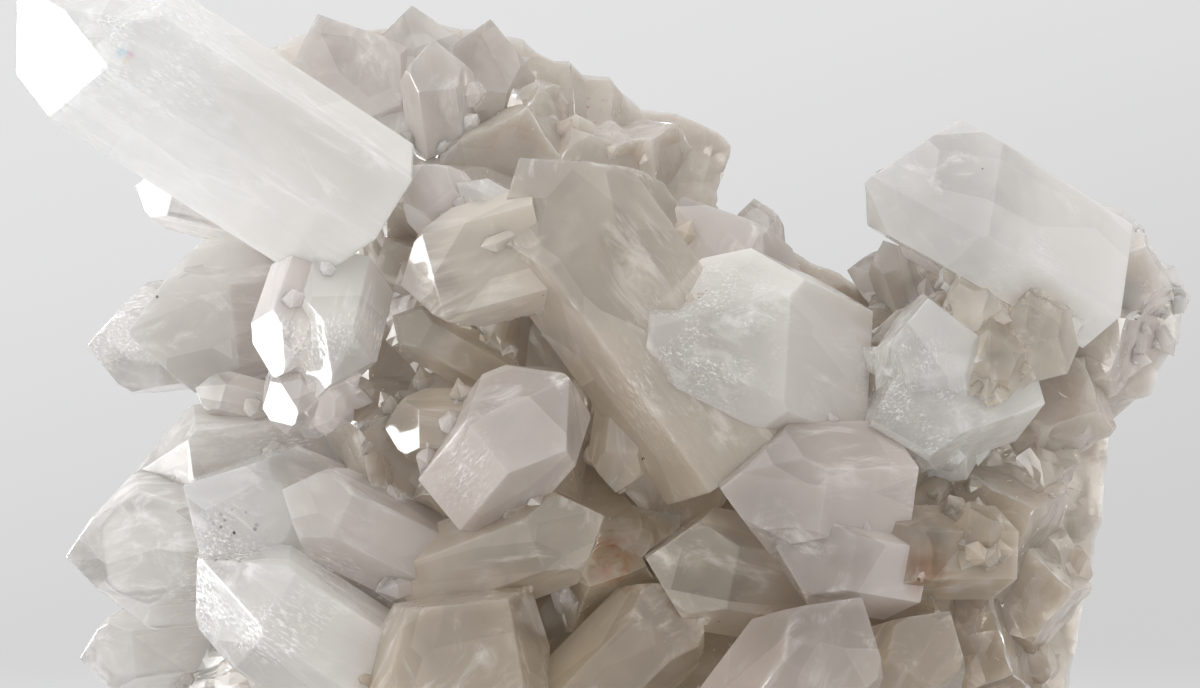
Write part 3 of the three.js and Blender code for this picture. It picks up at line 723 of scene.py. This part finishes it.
def floor():
    bm = bmesh.new()
    bmesh.ops.create_circle(bm, cap_ends=True, radius=FLOOR_RADIUS, segments=FLOOR_POINTS)
    mesh = bpy.data.meshes.new("floor")
    bm.to_mesh(mesh)
    bm.free()
    made = bpy.data.objects.new("floor", mesh)
    bpy.context.collection.objects.link(made)
    s = Shader("floor_look")
    reach = s.node("ShaderNodeVectorMath", {0: s.place()}, operation="LENGTH").outputs["Value"]
    paper = s.node("ShaderNodeBsdfDiffuse", {"Color": tone("#e2e3e4")})
    clear = s.node("ShaderNodeBsdfTransparent")
    fade = s.ramp(reach, *FLOOR_FADE)
    both = s.node("ShaderNodeMixShader", {0: fade, 1: paper.outputs[0], 2: clear.outputs[0]})
    s.tree.links.new(both.outputs[0], s.out.inputs["Surface"])
    mesh.materials.append(s.material)
    return made


floor()


def softbox(name, place, target, size, glow):
    """A square soft light of a given brightness."""
    light = bpy.data.lights.new(name, "AREA")
    light.shape = "SQUARE"
    light.size = size
    light.energy = glow * math.pi * size ** 2
    made = bpy.data.objects.new(name, light)
    made.location = place
    made.rotation_mode = "QUATERNION"
    made.rotation_quaternion = (Vector(target) - Vector(place)).to_track_quat("-Z", "Y")
    made.visible_camera = False
    bpy.context.collection.objects.link(made)
    return made


softbox("key", (-1.05, 0.04, 0.08), (0, 0, 0.14), 0.5, 6.0)
glint = softbox("glint", (-1.0, 0.05, 0.05), (0, 0, 0.13), 0.8, 10.0)
glint.visible_diffuse = False
glint.data.use_shadow = False
softbox("above", (0.1, -0.5, 1.3), (0, 0, 0.12), 0.9, 0.5)


def world():
    """A pale surround: what the camera sees of it, and the brighter studio that lights the group."""
    made = bpy.data.worlds.new("studio")
    made.use_nodes = True
    tree = made.node_tree
    back = tree.nodes["Background"]
    direction = tree.nodes.new("ShaderNodeTexCoord").outputs["Generated"]

    def gradient(slope, low, high, low_colour, high_colour):
        along = tree.nodes.new("ShaderNodeVectorMath")
        along.operation = "DOT_PRODUCT"
        along.inputs[1].default_value = slope
        tree.links.new(direction, along.inputs[0])
        share = tree.nodes.new("ShaderNodeMapRange")
        share.interpolation_type = "SMOOTHSTEP"
        share.inputs["From Min"].default_value = low
        share.inputs["From Max"].default_value = high
        tree.links.new(along.outputs["Value"], share.inputs["Value"])
        mix = tree.nodes.new("ShaderNodeMix")
        mix.data_type = "RGBA"
        mix.inputs[6].default_value = low_colour
        mix.inputs[7].default_value = high_colour
        tree.links.new(share.outputs["Result"], mix.inputs["Factor"])
        return mix.outputs[2]

    seen = gradient((-0.3, 0.0, 1.0), -0.13, 0.13, tone("#cfcfcf"), tone("#e4e4e5"))
    light = gradient((-0.45, -0.2, 0.9), -1.0, 1.0,
                     (0.38, 0.37, 0.355, 1.0), (1.19, 1.19, 1.20, 1.0))
    choice = tree.nodes.new("ShaderNodeMix")
    choice.data_type = "RGBA"
    tree.links.new(tree.nodes.new("ShaderNodeLightPath").outputs["Is Camera Ray"], choice.inputs["Factor"])
    tree.links.new(light, choice.inputs[6])
    tree.links.new(seen, choice.inputs[7])
    tree.links.new(choice.outputs[2], back.inputs["Color"])
    bpy.context.scene.world = made


world()

# ---------------------------------------------------------------- camera

EYE = (0.0, -0.7, 0.1438)
camera_data = bpy.data.cameras.new("camera")
camera_data.lens = 105
camera_data.sensor_width = 36
camera_data.clip_start = 0.05
camera = bpy.data.objects.new("camera", camera_data)
camera.location = EYE
camera.rotation_euler = (math.pi / 2, 0, 0)
bpy.context.collection.objects.link(camera)
bpy.context.scene.camera = camera
bpy.context.scene.view_settings.view_transform = "Standard"
